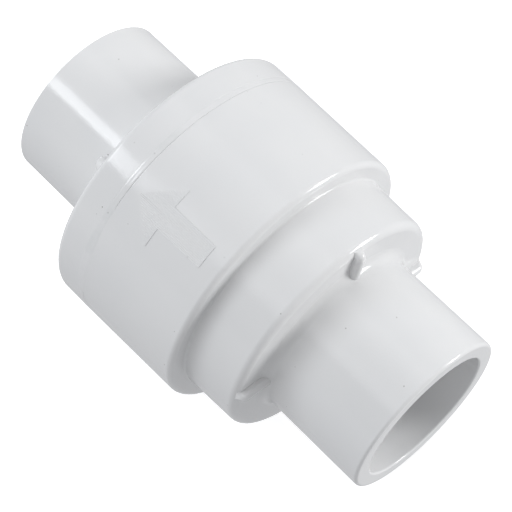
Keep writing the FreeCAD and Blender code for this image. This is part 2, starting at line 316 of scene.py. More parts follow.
def rib(face_x, direction, size):
    """One rib standing on a stub and the face behind it, its crest and outer end rounded."""
    foot_r = SPIGOT_R - 1.0
    root_x = face_x - direction
    crest_x = face_x + direction * size["high"]
    bm = slab([
        (root_x, foot_r, 0),
        (crest_x, foot_r, 0),
        (crest_x, size["end_r"], size["high"] * 0.95),
        (root_x, size["end_r"], 0),
    ], size["thick"], 8)
    crest = []
    for edge in rims(bm):
        off_root = all(abs(vert.co.x - root_x) > 0.2 for vert in edge.verts)
        off_foot = any(vert.co.z > foot_r + 0.1 for vert in edge.verts)
        along_side = abs(edge.verts[0].co.y - edge.verts[1].co.y) < 1e-6
        if off_root and off_foot and along_side:
            crest.append(edge)
    rounded(bm, crest, size["thick"] * 0.48, 6)
    return bm


def ribbed(bm, face_x, direction, size):
    """Add the ribs round a stub to a moulding."""
    for i in range(RIB_COUNT):
        one = rib(face_x, direction, size)
        turn_about_flow(one, one.verts[:], size["angle"] + i * 360.0 / RIB_COUNT)
        add_in(bm, one)


def body_outer_r(x):
    """Outside radius of the barrel, which tapers a little for the mould."""
    share = (x - STEP_FACE_X) / (BODY_END_X - STEP_FACE_X)
    return BODY_STEP_R + share * (BODY_END_R - BODY_STEP_R)


def flow_arrow():
    """Raised arrow wrapped on the barrel, its top left with fine lines along the flow by the mould cutter."""
    half_head = ARROW_HEAD_WIDE / 2
    half_shaft = ARROW_SHAFT_WIDE / 2
    bm = bmesh.new()
    outline(bm, [
        (ARROW_TAIL_X, -half_shaft, 0.4),
        (ARROW_NECK_X, -half_shaft, 0.3),
        (ARROW_NECK_X, -half_head, 0.5),
        (ARROW_TIP_X, 0, 0.5),
        (ARROW_NECK_X, half_head, 0.5),
        (ARROW_NECK_X, half_shaft, 0.3),
        (ARROW_TAIL_X, half_shaft, 0.4),
    ], 4)
    bmesh.ops.rotate(bm, verts=bm.verts[:], cent=ORIGIN, matrix=Matrix.Rotation(math.pi / 2, 3, "X"))
    top = bmesh.ops.contextual_create(bm, geom=bm.edges[:])["faces"][0]
    if top.normal.z < 0:
        top.normal_flip()
    bm.normal_update()
    grown = bmesh.ops.extrude_face_region(bm, geom=[top])["geom"]
    top_z = ARROW_PROUD + ARROW_SUNK
    bmesh.ops.translate(bm, verts=[item for item in grown if isinstance(item, bmesh.types.BMVert)],
                        vec=(0, 0, top_z))
    bmesh.ops.recalc_face_normals(bm, faces=bm.faces[:])
    tops = [face for face in bm.faces if face.normal.z > 0.9]
    bmesh.ops.inset_region(bm, faces=tops, thickness=ARROW_RIM, depth=0.0)
    slices = int(ARROW_HEAD_WIDE / (TOOL_LINE_PITCH / 4)) + 2
    for i in range(slices + 1):
        y = (i - slices / 2) * TOOL_LINE_PITCH / 4
        bmesh.ops.bisect_plane(bm, geom=bm.verts[:] + bm.edges[:] + bm.faces[:], dist=1e-5,
                               plane_co=(0, y, 0), plane_no=(0, 1, 0))
    rim = {vert for face in bm.faces if abs(face.normal.z) < 0.5 for vert in face.verts}
    for vert in bm.verts:
        x, y, z = vert.co
        height = z - ARROW_SUNK
        if z > top_z - 1e-4:
            line_depth = TOOL_LINE_DEPTH / 2 * (1 - math.cos(math.tau * y / TOOL_LINE_PITCH))
            height -= ARROW_RIM_DROP if vert in rim else line_depth
        r = body_outer_r(x) + height
        angle = y / BODY_END_R
        vert.co = (x, r * math.sin(angle), r * math.cos(angle))
    turn_about_flow(bm, bm.verts[:], ARROW_ANGLE)
    return bm


def inlet_body():
    """Inlet stub, boss, barrel and seat."""
    bm = spun([
        (0, SOCKET_R, LIP_ROUND),
        (0, SPIGOT_R, 1.2),
        (BOSS_FACE_X, SPIGOT_R, INLET_ROOT_ROUND),
        (BOSS_FACE_X, BOSS_FACE_R, 2.8),
        (STEP_FACE_X, BOSS_ROOT_R, STEP_ROOT_ROUND),
        (STEP_FACE_X, BODY_STEP_R, 2.0),
        (BODY_END_X, BODY_END_R, 0.3),
        (BODY_END_X, COUNTERBORE_R, 0),
        (GUIDE_LEDGE_X, COUNTERBORE_R, 0),
        (GUIDE_LEDGE_X, CHAMBER_R, 0.4),
        (CHAMBER_STEP_X, CHAMBER_R, 2.0),
        (CHAMBER_STEP_X, BOSS_CHAMBER_R, 1.0),
        (SEAT_WALL_X, BOSS_CHAMBER_R, 2.0),
        (SEAT_WALL_X, SEAT_R, 1.0),
        (SEAT_TOP_X - 1.5, SEAT_R, 0.5),
        (SEAT_TOP_X - 1.5, SEAT_R - 1.4, 0.3),
        (SEAT_TOP_X - 0.05, SEAT_R - 1.6, 0.8),
        (SEAT_TOP_X - 0.05, THROAT_R + 1.0, 0.8),
        (SEAT_TOP_X - 1.5, THROAT_R, 0.3),
        (SOCKET_DEPTH, THROAT_R, 0.5),
        (SOCKET_DEPTH, SOCKET_R, 0.3),
    ])
    ribbed(bm, BOSS_FACE_X, -1, INLET_RIBS)
    add_in(bm, flow_arrow())
    return bm


def outlet_cap():
    """Cap flange, its plug into the body, and the outlet stub."""
    socket_end_x = OUTLET_X - SOCKET_DEPTH
    bm = spun([
        (OUTLET_X, SOCKET_R, LIP_ROUND),
        (OUTLET_X, SPIGOT_R, 0.4),
        (CAP_BACK_X, SPIGOT_R, OUTLET_ROOT_ROUND),
        (CAP_BACK_X, CAP_R, 2.2),
        (CAP_FACE_X, CAP_R, 0.15),
        (CAP_FACE_X, COUNTERBORE_R - 0.05, 0),
        (PLUG_X, COUNTERBORE_R - 0.05, 0.5),
        (PLUG_X, PLUG_BORE_R, 0.5),
        (FUNNEL_START_X, PLUG_BORE_R, 2.0),
        (FUNNEL_END_X, THROAT_R, 3.0),
        (socket_end_x, THROAT_R, 0.5),
        (socket_end_x, SOCKET_R, 0.3),
    ])
    ribbed(bm, CAP_BACK_X, 1, CAP_RIBS)
    return bm


def bead_edges(degrees):
    """Where the squeezed-out cement ends on each side of the seam, at an angle from +Z towards -Y."""
    place = Vector((math.cos(math.radians(degrees)), math.sin(math.radians(degrees)), 0))
    smear = math.exp(-((degrees + 66) / 22) ** 2)
    thinning = 1 - 0.3 * math.exp(-((degrees - 60) / 45) ** 2)
    wiped_back = 0.9 * smear * (1 + 0.5 * noise.noise(place * 14))
    wiped_front = 0.7 * smear * (1 + 0.6 * noise.noise(place * 17 + FLOW))
    back = BEAD_REACH * thinning + wiped_back + 0.12 * noise.noise(place * 30)
    front = BEAD_REACH * thinning + wiped_front + 0.1 * noise.noise(place * 34)
    return back, front


def cement_bead():
    """Cement squeezed out at the seam: a low rounded ring, wavy and wiped wider on one stretch."""
    middle_x = (BODY_END_X + CAP_FACE_X) / 2
    fill = (CAP_FACE_X - BODY_END_X) / 2 + 0.04
    bm = spun([
        (middle_x - fill, BODY_END_R - 0.6, 0),
        (middle_x - fill, BODY_END_R - 0.04, 0),
        (middle_x - 1, BODY_END_R - 0.01, 0),
        (middle_x - 0.75, BODY_END_R + 0.03, 0),
        (middle_x - 0.35, BODY_END_R + 0.03, 0),
        (middle_x, BODY_END_R, 0),
        (middle_x + 0.35, BODY_END_R + 0.03, 0),
        (middle_x + 0.75, BODY_END_R + 0.04, 0),
        (middle_x + 1, BODY_END_R - 0.01, 0),
        (middle_x + fill, BODY_END_R - 0.04, 0),
        (middle_x + fill, BODY_END_R - 0.6, 0),
    ], steps=360)
    for vert in bm.verts:
        x, y, z = vert.co
        degrees = math.degrees(math.atan2(-y, z))
        if abs(x - middle_x) < fill - 0.01:
            back, front = bead_edges(degrees)
            reach = front if x > middle_x else back
            vert.co.x = middle_x + (x - middle_x) * reach
        elif x < middle_x:
            sunk = 0.11 / (1 + math.exp((degrees - 10) / 7)) / BODY_END_R
            vert.co.yz = (y * (1 - sunk), z * (1 - sunk))
    return bm


# ---------------------------------------------------------------- outlet guide

def outlet_guide():
    """Rim ring, hub and four vanes, moulded in one piece."""
    bm = spun([
        (GUIDE_LEDGE_X, GUIDE_RING_BORE_R, 0.5),
        (GUIDE_LEDGE_X, GUIDE_RING_R, 0.5),
        (PLUG_X, GUIDE_RING_R, 0.5),
        (PLUG_X, GUIDE_RING_BORE_R, 0.5),
    ], segments=3)
    add_in(bm, spun([
        (GUIDE_HUB_X, BUSH_R, 0.2),
        (GUIDE_HUB_X, GUIDE_HUB_R, 0.5),
        (GUIDE_HUB_END_X, GUIDE_HUB_R, 1.0),
        (GUIDE_HUB_END_X, BUSH_R, 0.3),
    ], SMALL_STEPS, 4))
    for i in range(VANE_COUNT):
        vane = slab([
            (GUIDE_LEDGE_X, GUIDE_HUB_R - 1, 0),
            (GUIDE_LEDGE_X, GUIDE_RING_BORE_R + 0.3, 0),
            (PLUG_X, GUIDE_RING_BORE_R + 0.3, 0),
            (VANE_ROOT_X, GUIDE_HUB_R - 1, 0),
        ], VANE_THICK)
        rounded(vane, rims(vane), 0.6)
        turn_about_flow(vane, vane.verts[:], 45 + i * 360.0 / VANE_COUNT)
        add_in(bm, vane)
    return bm


def guide_bush():
    """Flanged bearing in the guide's hub."""
    return spun([
        (BUSH_FLANGE_X, BUSH_BORE_R, 0.3),
        (BUSH_FLANGE_X, BUSH_FLANGE_R, 0.3),
        (GUIDE_HUB_X, BUSH_FLANGE_R, 0.3),
        (GUIDE_HUB_X, BUSH_R, 0),
        (GUIDE_HUB_END_X - 1, BUSH_R, 0.3),
        (GUIDE_HUB_END_X - 1, BUSH_BORE_R, 0.3),
    ], SMALL_STEPS, 4)


def rest_washer():
    """Thin washer between the spring and the vanes."""
    return spun([
        (GUIDE_LEDGE_X - REST_WASHER_THICK, GUIDE_HUB_R + 0.3, 0.1),
        (GUIDE_LEDGE_X - REST_WASHER_THICK, REST_WASHER_R, 0.3),
        (GUIDE_LEDGE_X, REST_WASHER_R, 0.1),
        (GUIDE_LEDGE_X, GUIDE_HUB_R + 0.3, 0.1),
    ], SMALL_STEPS, 3)


# ---------------------------------------------------------------- spring

COIL_FIRST_X = CUP_X + CUP_SHEET + WIRE_R + 0.05
COIL_LAST_X = GUIDE_LEDGE_X - REST_WASHER_THICK - WIRE_R - 0.05


def coil_climb(turn):
    """How far along the flow the wire has climbed after some turns: its first and last coils lie closed."""
    whole = COIL_LAST_X - COIL_FIRST_X
    if turn > COIL_TURNS / 2:
        return whole - coil_climb(COIL_TURNS - turn)
    rate = whole / (COIL_TURNS - 2 * COIL_REST - COIL_RISE)
    if turn < COIL_REST:
        return 0.0
    if turn < COIL_REST + COIL_RISE:
        return rate * (turn - COIL_REST) ** 2 / (2 * COIL_RISE)
    return rate * (turn - COIL_REST - COIL_RISE / 2)


def spring():
    """Round wire wound with an even pitch, then drawn together at both ends."""
    bm = bmesh.new()
    bmesh.ops.create_circle(bm, cap_ends=False, segments=16, radius=WIRE_R)
    bmesh.ops.translate(bm, verts=bm.verts[:], vec=(COIL_FIRST_X, COIL_R, 0))
    pitch = (COIL_LAST_X - COIL_FIRST_X) / COIL_TURNS
    steps = TURN_STEPS * COIL_TURNS
    bmesh.ops.spin(bm, geom=bm.verts[:] + bm.edges[:], cent=ORIGIN, axis=FLOW,
                   dvec=(pitch / TURN_STEPS, 0, 0), angle=math.tau * COIL_TURNS, steps=steps, use_merge=False)
    for vert in bm.verts:
        x, y, z = vert.co
        share = math.atan2(z, y) / math.tau
        turn = share + round((x - COIL_FIRST_X) / pitch - share)
        vert.co.x += coil_climb(turn) - turn * pitch
    bmesh.ops.holes_fill(bm, edges=[edge for edge in bm.edges if edge.is_boundary], sides=0)
    bmesh.ops.recalc_face_normals(bm, faces=bm.faces[:])
    rounded(bm, [edge for edge in bm.edges if edge.calc_face_angle(0) > 1.2], 0.12, 2)
    return bm


def spring_cup():
    """Pressed cup under the spring."""
    return spun([
        (CUP_X, DISC_HUB_R + 0.3, 0.15),
        (CUP_X, CUP_R, 0.7),
        (CUP_END_X, CUP_R, 0.2),
        (CUP_END_X, CUP_R - CUP_SHEET, 0.2),
        (CUP_X + CUP_SHEET, CUP_R - CUP_SHEET, 0.3),
        (CUP_X + CUP_SHEET, DISC_HUB_R + 0.3, 0.15),
    ], SMALL_STEPS, 4)


# ---------------------------------------------------------------- poppet

def poppet_disc():
    """Backing disc with its hub and a shallow moulded ring groove."""
    return spun([
        (DISC_FRONT_X, STEM_HOLE_R, 0),
        (DISC_FRONT_X, DISC_R, 0.6),
        (DISC_BACK_X, DISC_R, 2.0),
        (DISC_BACK_X, GROOVE_OUTER_R, 0.3),
        (DISC_BACK_X - GROOVE_DEPTH, GROOVE_OUTER_R - GROOVE_SLOPE, 0.3),
        (DISC_BACK_X - GROOVE_DEPTH, GROOVE_INNER_R + GROOVE_SLOPE, 0.3),
        (DISC_BACK_X, GROOVE_INNER_R, 0.3),
        (DISC_BACK_X, DISC_HUB_R, 0),
        (COLLAR_X, DISC_HUB_R, 0.6),
        (COLLAR_X, STEM_HOLE_R, 0),
    ], ROUND_STEPS, 4)


def poppet_seal():
    """Rubber disc that closes on the seat."""
    return spun([
        (SEAT_TOP_X, STEM_HOLE_R, 0),
        (SEAT_TOP_X, SEAL_R, 0.8),
        (DISC_FRONT_X, SEAL_R, 0.8),
        (DISC_FRONT_X, STEM_HOLE_R, 0),
    ])


def wing_guide():
    """Clamp plate with four wings that slide in the throat."""
    bm = spun([
        (CLAMP_FRONT_X, STEM_HOLE_R, 0.2),
        (CLAMP_FRONT_X, CLAMP_R, 0.6),
        (SEAT_TOP_X, CLAMP_R, 0.6),
        (SEAT_TOP_X, STEM_HOLE_R, 0),
    ], segments=4)
    wing_top = math.sqrt(WING_R ** 2 - (WING_THICK / 2) ** 2)
    for i in range(WING_COUNT):
        wing = slab([
            (CLAMP_FRONT_X + 1, WING_ROOT_R, 0),
            (CLAMP_FRONT_X + 1, wing_top, 0),
            (WING_FRONT_X, wing_top, 2.0),
            (WING_FRONT_X, WING_ROOT_R, 2.0),
        ], WING_THICK)
        rounded(wing, rims(wing), 0.4)
        turn_about_flow(wing, wing.verts[:], i * 360.0 / WING_COUNT)
        add_in(bm, wing)
    return bm


def stem():
    """Stem with its rolled thread, clamping collar and clip groove."""
    core_r = STEM_R - THREAD_DEPTH
    thread_end_x = STEM_FRONT_X + 0.6 + (THREAD_TURNS + 0.5) * THREAD_PITCH
    bm = spun([
        (STEM_FRONT_X, 0, 0),
        (STEM_FRONT_X, core_r - 0.2, 0.15),
        (STEM_FRONT_X + 0.4, core_r, 0),
        (thread_end_x, core_r, 0),
        (thread_end_x + 0.5, STEM_R, 0.2),
        (COLLAR_X, STEM_R, 0),
        (COLLAR_X, COLLAR_R, 0.4),
        (COLLAR_END_X, COLLAR_R, 0.4),
        (COLLAR_END_X, STEM_R, 0.3),
        (CLIP_X, STEM_R, 0.05),
        (CLIP_X, core_r, 0.05),
        (CLIP_X + CLIP_THICK, core_r, 0.05),
        (CLIP_X + CLIP_THICK, STEM_R, 0.05),
        (STEM_REAR_X - 0.5, STEM_R, 0.2),
        (STEM_REAR_X, STEM_R - 0.5, 0.2),
        (STEM_REAR_X, 0, 0),
    ], SMALL_STEPS, 3)
    ridge = bmesh.new()
    outline(ridge, [
        (STEM_FRONT_X + 0.2, core_r - 0.1, 0),
        (STEM_FRONT_X + 0.2, core_r + 0.02, 0),
        (STEM_FRONT_X + 0.62, STEM_R - 0.02, 0.06),
        (STEM_FRONT_X + 1.04, core_r + 0.02, 0),
        (STEM_FRONT_X + 1.04, core_r - 0.1, 0),
    ], 2)
    bmesh.ops.spin(ridge, geom=ridge.verts[:] + ridge.edges[:], cent=ORIGIN, axis=FLOW,
                   dvec=(THREAD_PITCH / TURN_STEPS, 0, 0), angle=math.tau * THREAD_TURNS,
                   steps=TURN_STEPS * THREAD_TURNS, use_merge=False)
    bmesh.ops.holes_fill(ridge, edges=[edge for edge in ridge.edges if edge.is_boundary], sides=0)
    bmesh.ops.recalc_face_normals(ridge, faces=ridge.faces[:])
    add_in(bm, ridge)
    return bm


def front_washer():
    """Washer under the lock nut, one edge rolled over by the punch."""
    return spun([
        (NUT_BACK_X, STEM_HOLE_R, 0.1),
        (NUT_BACK_X, high_r("front_washer"), 0.35),
        (CLAMP_FRONT_X, high_r("front_washer"), 0.1),
        (CLAMP_FRONT_X, STEM_HOLE_R, 0.1),
    ], SMALL_STEPS, 3)


def lock_nut():
    """Chamfered hexagon with a round crown rolled in over the insert."""
    corner_r = NUT_FLATS / math.sqrt(3)
    bm = spun([
        (NUT_BACK_X, STEM_HOLE_R, 0.15),
        (NUT_BACK_X, NUT_FLATS / 2 - 0.1, 0),
        (NUT_BACK_X - 0.25, corner_r - 0.3, 0),
        (NUT_BACK_X - 0.5, corner_r, 0),
        (NUT_HEX_X + 0.5, corner_r, 0),
        (NUT_HEX_X + 0.25, corner_r - 0.3, 0),
        (NUT_HEX_X, NUT_FLATS / 2 - 0.1, 0),
        (NUT_HEX_X, INSERT_R + 0.6, 0.1),
        (NUT_CROWN_X, INSERT_R + 0.6, 0.5),
        (NUT_CROWN_X, INSERT_R - 0.5, 0.05),
        (NUT_CROWN_X + 0.2, INSERT_R - 0.5, 0.05),
        (NUT_CROWN_X + 0.2, INSERT_R, 0),
        (NUT_CROWN_X + 1.6, INSERT_R, 0),
        (NUT_CROWN_X + 1.6, STEM_HOLE_R, 0),
    ], SMALL_STEPS, 3)
    for vert in bm.verts:
        x, y, z = vert.co
        r = math.hypot(y, z)
        if r > NUT_FLATS / 2 - 0.05:
            off_flat = (math.degrees(math.atan2(y, z)) + 30) % 60 - 30
            flat_r = NUT_FLATS / 2 / math.cos(math.radians(30 - abs(off_flat)))
            vert.co = (x, y * min(1, flat_r / r), z * min(1, flat_r / r))
    return bm


def lock_nut_insert():
    """Nylon ring in the nut's crown."""
    return spun([
        (NUT_CROWN_X + 0.2, STEM_HOLE_R, 0.2),
        (NUT_CROWN_X + 0.2, INSERT_R, 0),
        (NUT_CROWN_X + 1.6, INSERT_R, 0),
        (NUT_CROWN_X + 1.6, STEM_HOLE_R, 0),
    ], SMALL_STEPS, 3)


def stem_clip():
    """Open sprung clip with two tool windows."""
    bm = bmesh.new()

    def arc(r, first, last, steps):
        """Vertices on an arc about the stem, by angle from +Z."""
        made = []
        for i in range(steps + 1):
            angle = first + (last - first) * i / steps
            made.append(bm.verts.new((0, r * math.sin(angle), r * math.cos(angle))))
        return made

    outer_start = math.asin(CLIP_MOUTH / 2 / CLIP_R)
    groove_r = STEM_R - 0.5
    inner_start = math.asin(CLIP_MOUTH / 2 / groove_r)
    loop = arc(CLIP_R, outer_start, math.tau - outer_start, 72)
    loop += arc(groove_r, math.tau - inner_start, inner_start, 48)
    for first, second in zip(loop, loop[1:] + loop[:1]):
        bm.edges.new((first, second))
    for side in (-1, 1):
        window = bmesh.ops.create_circle(bm, cap_ends=False, segments=20, radius=0.9)["verts"]
        bmesh.ops.rotate(bm, verts=window, cent=ORIGIN, matrix=Matrix.Rotation(math.pi / 2, 3, "Y"))
        bmesh.ops.translate(bm, verts=window, vec=(0, side * 3.6, -1.6))
    bmesh.ops.triangle_fill(bm, use_beauty=True, use_dissolve=False, edges=bm.edges[:])
    grown = bmesh.ops.extrude_face_region(bm, geom=bm.faces[:])["geom"]
    moved = [item for item in grown if isinstance(item, bmesh.types.BMVert)]
    bmesh.ops.translate(bm, verts=moved, vec=(CLIP_THICK, 0, 0))
    bmesh.ops.translate(bm, verts=bm.verts[:], vec=(CLIP_X, 0, 0))
    bmesh.ops.recalc_face_normals(bm, faces=bm.faces[:])
    rounded(bm, rims(bm), 0.1, 2)
    return bm


# ---------------------------------------------------------------- materials

def shader_group(name, inputs, outputs):
    """Empty shader group with named sockets, and its input and output nodes."""
    group = bpy.data.node_groups.new(name, "ShaderNodeTree")
    for socket, kind, value in inputs:
        made = group.interface.new_socket(name=socket, in_out="INPUT", socket_type="NodeSocket" + kind)
        made.default_value = value
    for socket, kind in outputs:
        group.interface.new_socket(name=socket, in_out="OUTPUT", socket_type="NodeSocket" + kind)
    return group, group.nodes.new("NodeGroupInput"), group.nodes.new("NodeGroupOutput")


def mapped(tree, value, low, high):
    """A value stretched so that low becomes 0 and high becomes 1."""
    ramp = tree.nodes.new("ShaderNodeMapRange")
    ramp.interpolation_type = "SMOOTHSTEP"
    ramp.inputs["From Min"].default_value = low
    ramp.inputs["From Max"].default_value = high
    tree.links.new(value, ramp.inputs["Value"])
    return ramp.outputs["Result"]


def calculated(tree, operation, first, second):
    """A math node on two values, each a socket or a number."""
    node = tree.nodes.new("ShaderNodeMath")
    node.operation = operation
    for socket, value in zip(node.inputs, (first, second)):
        if isinstance(value, (int, float)):
            socket.default_value = value
        else:
            tree.links.new(value, socket)
    return node.outputs["Value"]


def noise_value(tree, vector, cells, detail):
    """Cloudy noise, its cells a share of a metre."""
    cloud = tree.nodes.new("ShaderNodeTexNoise")
    cloud.inputs["Detail"].default_value = detail
    if isinstance(cells, (int, float)):
        cloud.inputs["Scale"].default_value = cells
    else:
        tree.links.new(cells, cloud.inputs["Scale"])
    tree.links.new(vector, cloud.inputs["Vector"])
    return cloud.outputs["Fac"]


def object_place(tree, stretch=(1, 1, 1)):
    """Place on the piece, squeezed along some axes to draw a pattern out along the others."""
    place = tree.nodes.new("ShaderNodeTexCoord")
    mapping = tree.nodes.new("ShaderNodeMapping")
    mapping.inputs["Scale"].default_value = stretch
    tree.links.new(place.outputs["Object"], mapping.inputs["Vector"])
    return mapping.outputs["Vector"]


def mottle_group():
    """Cloudy change between a colour and a second shade of it."""
    group, given, put = shader_group("mottle", [
        ("Colour", "Color", (1, 1, 1, 1)),
        ("Shade", "Color", (0.9, 0.9, 0.9, 1)),
        ("Cells", "Float", 60.0),
    ], [("Colour", "Color")])
    cloud = noise_value(group, object_place(group), given.outputs["Cells"], 4.0)
    mix = group.nodes.new("ShaderNodeMix")
    mix.data_type = "RGBA"
    group.links.new(mapped(group, cloud, 0.35, 0.68), mix.inputs["Factor"])
    group.links.new(given.outputs["Colour"], mix.inputs["A"])
    group.links.new(given.outputs["Shade"], mix.inputs["B"])
    group.links.new(mix.outputs["Result"], put.inputs["Colour"])
    return group


def specks_group():
    """Scattered small specks, only in some cells."""
    group, given, put = shader_group("specks", [
        ("Cells", "Float", 90.0),
        ("Size", "Float", 0.04),
        ("Rarity", "Float", 0.7),
    ], [("Mask", "Float")])
    cells = group.nodes.new("ShaderNodeTexVoronoi")
    cells.inputs["Randomness"].default_value = 1.0
    group.links.new(given.outputs["Cells"], cells.inputs["Scale"])
    group.links.new(object_place(group), cells.inputs["Vector"])
    near = calculated(group, "LESS_THAN", cells.outputs["Distance"], given.outputs["Size"])
    parts = group.nodes.new("ShaderNodeSeparateColor")
    group.links.new(cells.outputs["Color"], parts.inputs["Color"])
    chosen = calculated(group, "GREATER_THAN", parts.outputs["Red"], given.outputs["Rarity"])
    faded = calculated(group, "MULTIPLY", parts.outputs["Green"], chosen)
    group.links.new(calculated(group, "MULTIPLY", near, faded), put.inputs["Mask"])
    return group


def scuffs_group():
    """Faint rub marks drawn out along the flow and across it."""
    group, given, put = shader_group("scuffs", [("Cells", "Float", 60.0)], [("Mask", "Float")])
    along = noise_value(group, object_place(group, (0.25, 6, 6)), given.outputs["Cells"], 6.0)
    across = noise_value(group, object_place(group, (9, 0.8, 0.5)), given.outputs["Cells"], 5.0)
    patches = noise_value(group, object_place(group), 25.0, 2.0)
    lines = calculated(group, "MAXIMUM", mapped(group, along, 0.62, 0.72), mapped(group, across, 0.64, 0.74))
    patchy = calculated(group, "MULTIPLY", lines, mapped(group, patches, 0.45, 0.65))
    group.links.new(patchy, put.inputs["Mask"])
    return group


def edges_group():
    """Masks for the edges that stick out, for wear, and for the hollow corners, where shade is painted in."""
    group, given, put = shader_group("edges", [("Reach", "Float", 0.04)], [
        ("Worn", "Float"),
        ("Painted_Shade", "Float"),
    ])
    shape = group.nodes.new("ShaderNodeNewGeometry")
    bend = calculated(group, "SUBTRACT", shape.outputs["Pointiness"], 0.5)
    share = calculated(group, "DIVIDE", bend, given.outputs["Reach"])
    breakup = mapped(group, noise_value(group, object_place(group), 350.0, 4.0), 0.3, 0.6)
    worn = calculated(group, "MULTIPLY", mapped(group, share, 0.25, 1.0), breakup)
    # Painted shade: this mask marks the hollow corners so that their colour can be darkened to stand in for
    # the shade that falls there.
    corner_shade = mapped(group, calculated(group, "MULTIPLY", share, -1.0), 0.25, 1.0)
    group.links.new(worn, put.inputs["Worn"])
    group.links.new(corner_shade, put.inputs["Painted_Shade"])
    return group


def grain_group():
    """Height of a fine even grain over a slow waviness."""
    group, given, put = shader_group("grain", [
        ("Cells", "Float", 1500.0),
        ("Waviness", "Float", 0.5),
    ], [("Height", "Float")])
    fine = noise_value(group, object_place(group), given.outputs["Cells"], 3.0)
    slow = noise_value(group, object_place(group), 45.0, 1.0)
    waves = calculated(group, "MULTIPLY", slow, given.outputs["Waviness"])
    group.links.new(calculated(group, "ADD", fine, waves), put.inputs["Height"])
    return group


def tool_rings_group():
    """Height of the rings that a cutting tool leaves round a turned or pressed piece."""
    group, given, put = shader_group("tool_rings", [("Rings", "Float", 4000.0)], [("Height", "Float")])
    place = group.nodes.new("ShaderNodeTexCoord")
    parts = group.nodes.new("ShaderNodeSeparateXYZ")
    group.links.new(place.outputs["Object"], parts.inputs["Vector"])
    across = calculated(group, "MULTIPLY", parts.outputs["Y"], parts.outputs["Y"])
    upward = calculated(group, "MULTIPLY", parts.outputs["Z"], parts.outputs["Z"])
    radius = calculated(group, "SQRT", calculated(group, "ADD", across, upward), 0.0)
    cone = calculated(group, "ADD", parts.outputs["X"], radius)
    turns = calculated(group, "MULTIPLY", cone, given.outputs["Rings"])
    wave = calculated(group, "SINE", turns, 0.0)
    group.links.new(wave, put.inputs["Height"])
    return group


MOTTLE = mottle_group()
SPECKS = specks_group()
SCUFFS = scuffs_group()
EDGES = edges_group()
GRAIN = grain_group()
TOOL_RINGS = tool_rings_group()


def placed(tree, group, **values):
    """A group's node in a material, with its own values."""
    node = tree.nodes.new("ShaderNodeGroup")
    node.node_tree = group
    for name, value in values.items():
        node.inputs[name.capitalize()].default_value = value
    return node


def started(name, metallic=0.0):
    """A new material, with its tree and its shader."""
    material = bpy.data.materials.new(name)
    material.use_nodes = True
    shader = material.node_tree.nodes["Principled BSDF"]
    shader.inputs["Metallic"].default_value = metallic
    return material, material.node_tree, shader


def tinted(tree, under, over, mask, share=1.0):
    """A colour laid over another where a mask says, at a share of its strength."""
    mix = tree.nodes.new("ShaderNodeMix")
    mix.data_type = "RGBA"
    mix.inputs["B"].default_value = over
    tree.links.new(calculated(tree, "MULTIPLY", mask, share), mix.inputs["Factor"])
    tree.links.new(under, mix.inputs["A"])
    return mix.outputs["Result"]


def bumped(tree, shader, height, depth, strength=1.0):
    """Feed a height through a bump into the shader's normal."""
    bump = tree.nodes.new("ShaderNodeBump")
    bump.inputs["Distance"].default_value = depth
    bump.inputs["Strength"].default_value = strength
    tree.links.new(height, bump.inputs["Height"])
    tree.links.new(bump.outputs["Normal"], shader.inputs["Normal"])


def moulded_plastic(name, colour, shade, dirt_and_shade, gloss, dull, orange_peel=0.00002):
    """Moulded plastic: clouded colour, dust specks, painted shade darkening the hollow corners, dull rub
    marks and a faint skin.
    """
    material, tree, shader = started(name)
    clouded = placed(tree, MOTTLE, colour=colour, shade=shade, cells=38.0).outputs["Colour"]
    edges = placed(tree, EDGES, reach=0.05)
    # Painted shade: the hollow corners are darkened halfway towards the speck colour, standing in for their
    # shade.
    corner_shaded = tinted(tree, clouded, dirt_and_shade, edges.outputs["Painted_Shade"], 0.5)
    specks = placed(tree, SPECKS, cells=220.0, size=0.05, rarity=0.55).outputs["Mask"]
    speckled = tinted(tree, corner_shaded, dirt_and_shade, specks, 0.9)
    tree.links.new(speckled, shader.inputs["Base Color"])
    scuffs = placed(tree, SCUFFS, cells=70.0).outputs["Mask"]
    marks = calculated(tree, "MULTIPLY", scuffs, dull - gloss)
    tree.links.new(calculated(tree, "ADD", marks, gloss), shader.inputs["Roughness"])
    bumped(tree, shader, placed(tree, GRAIN, cells=1400.0, waviness=2.0).outputs["Height"], orange_peel)
    return material


def white_pvc():
    """Glossy white pipe plastic."""
    # The third colour is the dust specks' colour and also the painted shade in the hollow corners.
    return moulded_plastic("white_pvc", (0.783, 0.785, 0.787, 1), (0.766, 0.770, 0.775, 1),
                           (0.20, 0.19, 0.17, 1), 0.12, 0.26)


def cured_cement():
    """Clear solvent cement, softened plastic and dust cured to a glossy film."""
    material, tree, shader = started("cured_cement")
    clouded = placed(tree, MOTTLE, colour=(0.785, 0.785, 0.79, 1),
                     shade=(0.745, 0.752, 0.755, 1), cells=130.0)
    specks = placed(tree, SPECKS, cells=160.0, size=0.05, rarity=0.8).outputs["Mask"]
    tree.links.new(tinted(tree, clouded.outputs["Colour"], (0.25, 0.25, 0.23, 1), specks, 0.6),
                   shader.inputs["Base Color"])
    patches = mapped(tree, noise_value(tree, object_place(tree), 160.0, 3.0), 0.35, 0.7)
    tree.links.new(calculated(tree, "ADD", calculated(tree, "MULTIPLY", patches, 0.15), 0.06),
                   shader.inputs["Roughness"])
    bumped(tree, shader, placed(tree, GRAIN, cells=420.0, waviness=3.0).outputs["Height"], 0.00006)
    return material


def grey_acetal():
    """Satin grey engineering plastic of the guide and the poppet."""
    # The third colour is the dust specks' colour and also the painted shade in the hollow corners.
    return moulded_plastic("grey_acetal", (0.30, 0.31, 0.32, 1), (0.26, 0.27, 0.285, 1),
                           (0.05, 0.05, 0.045, 1), 0.34, 0.55, 0.00005)


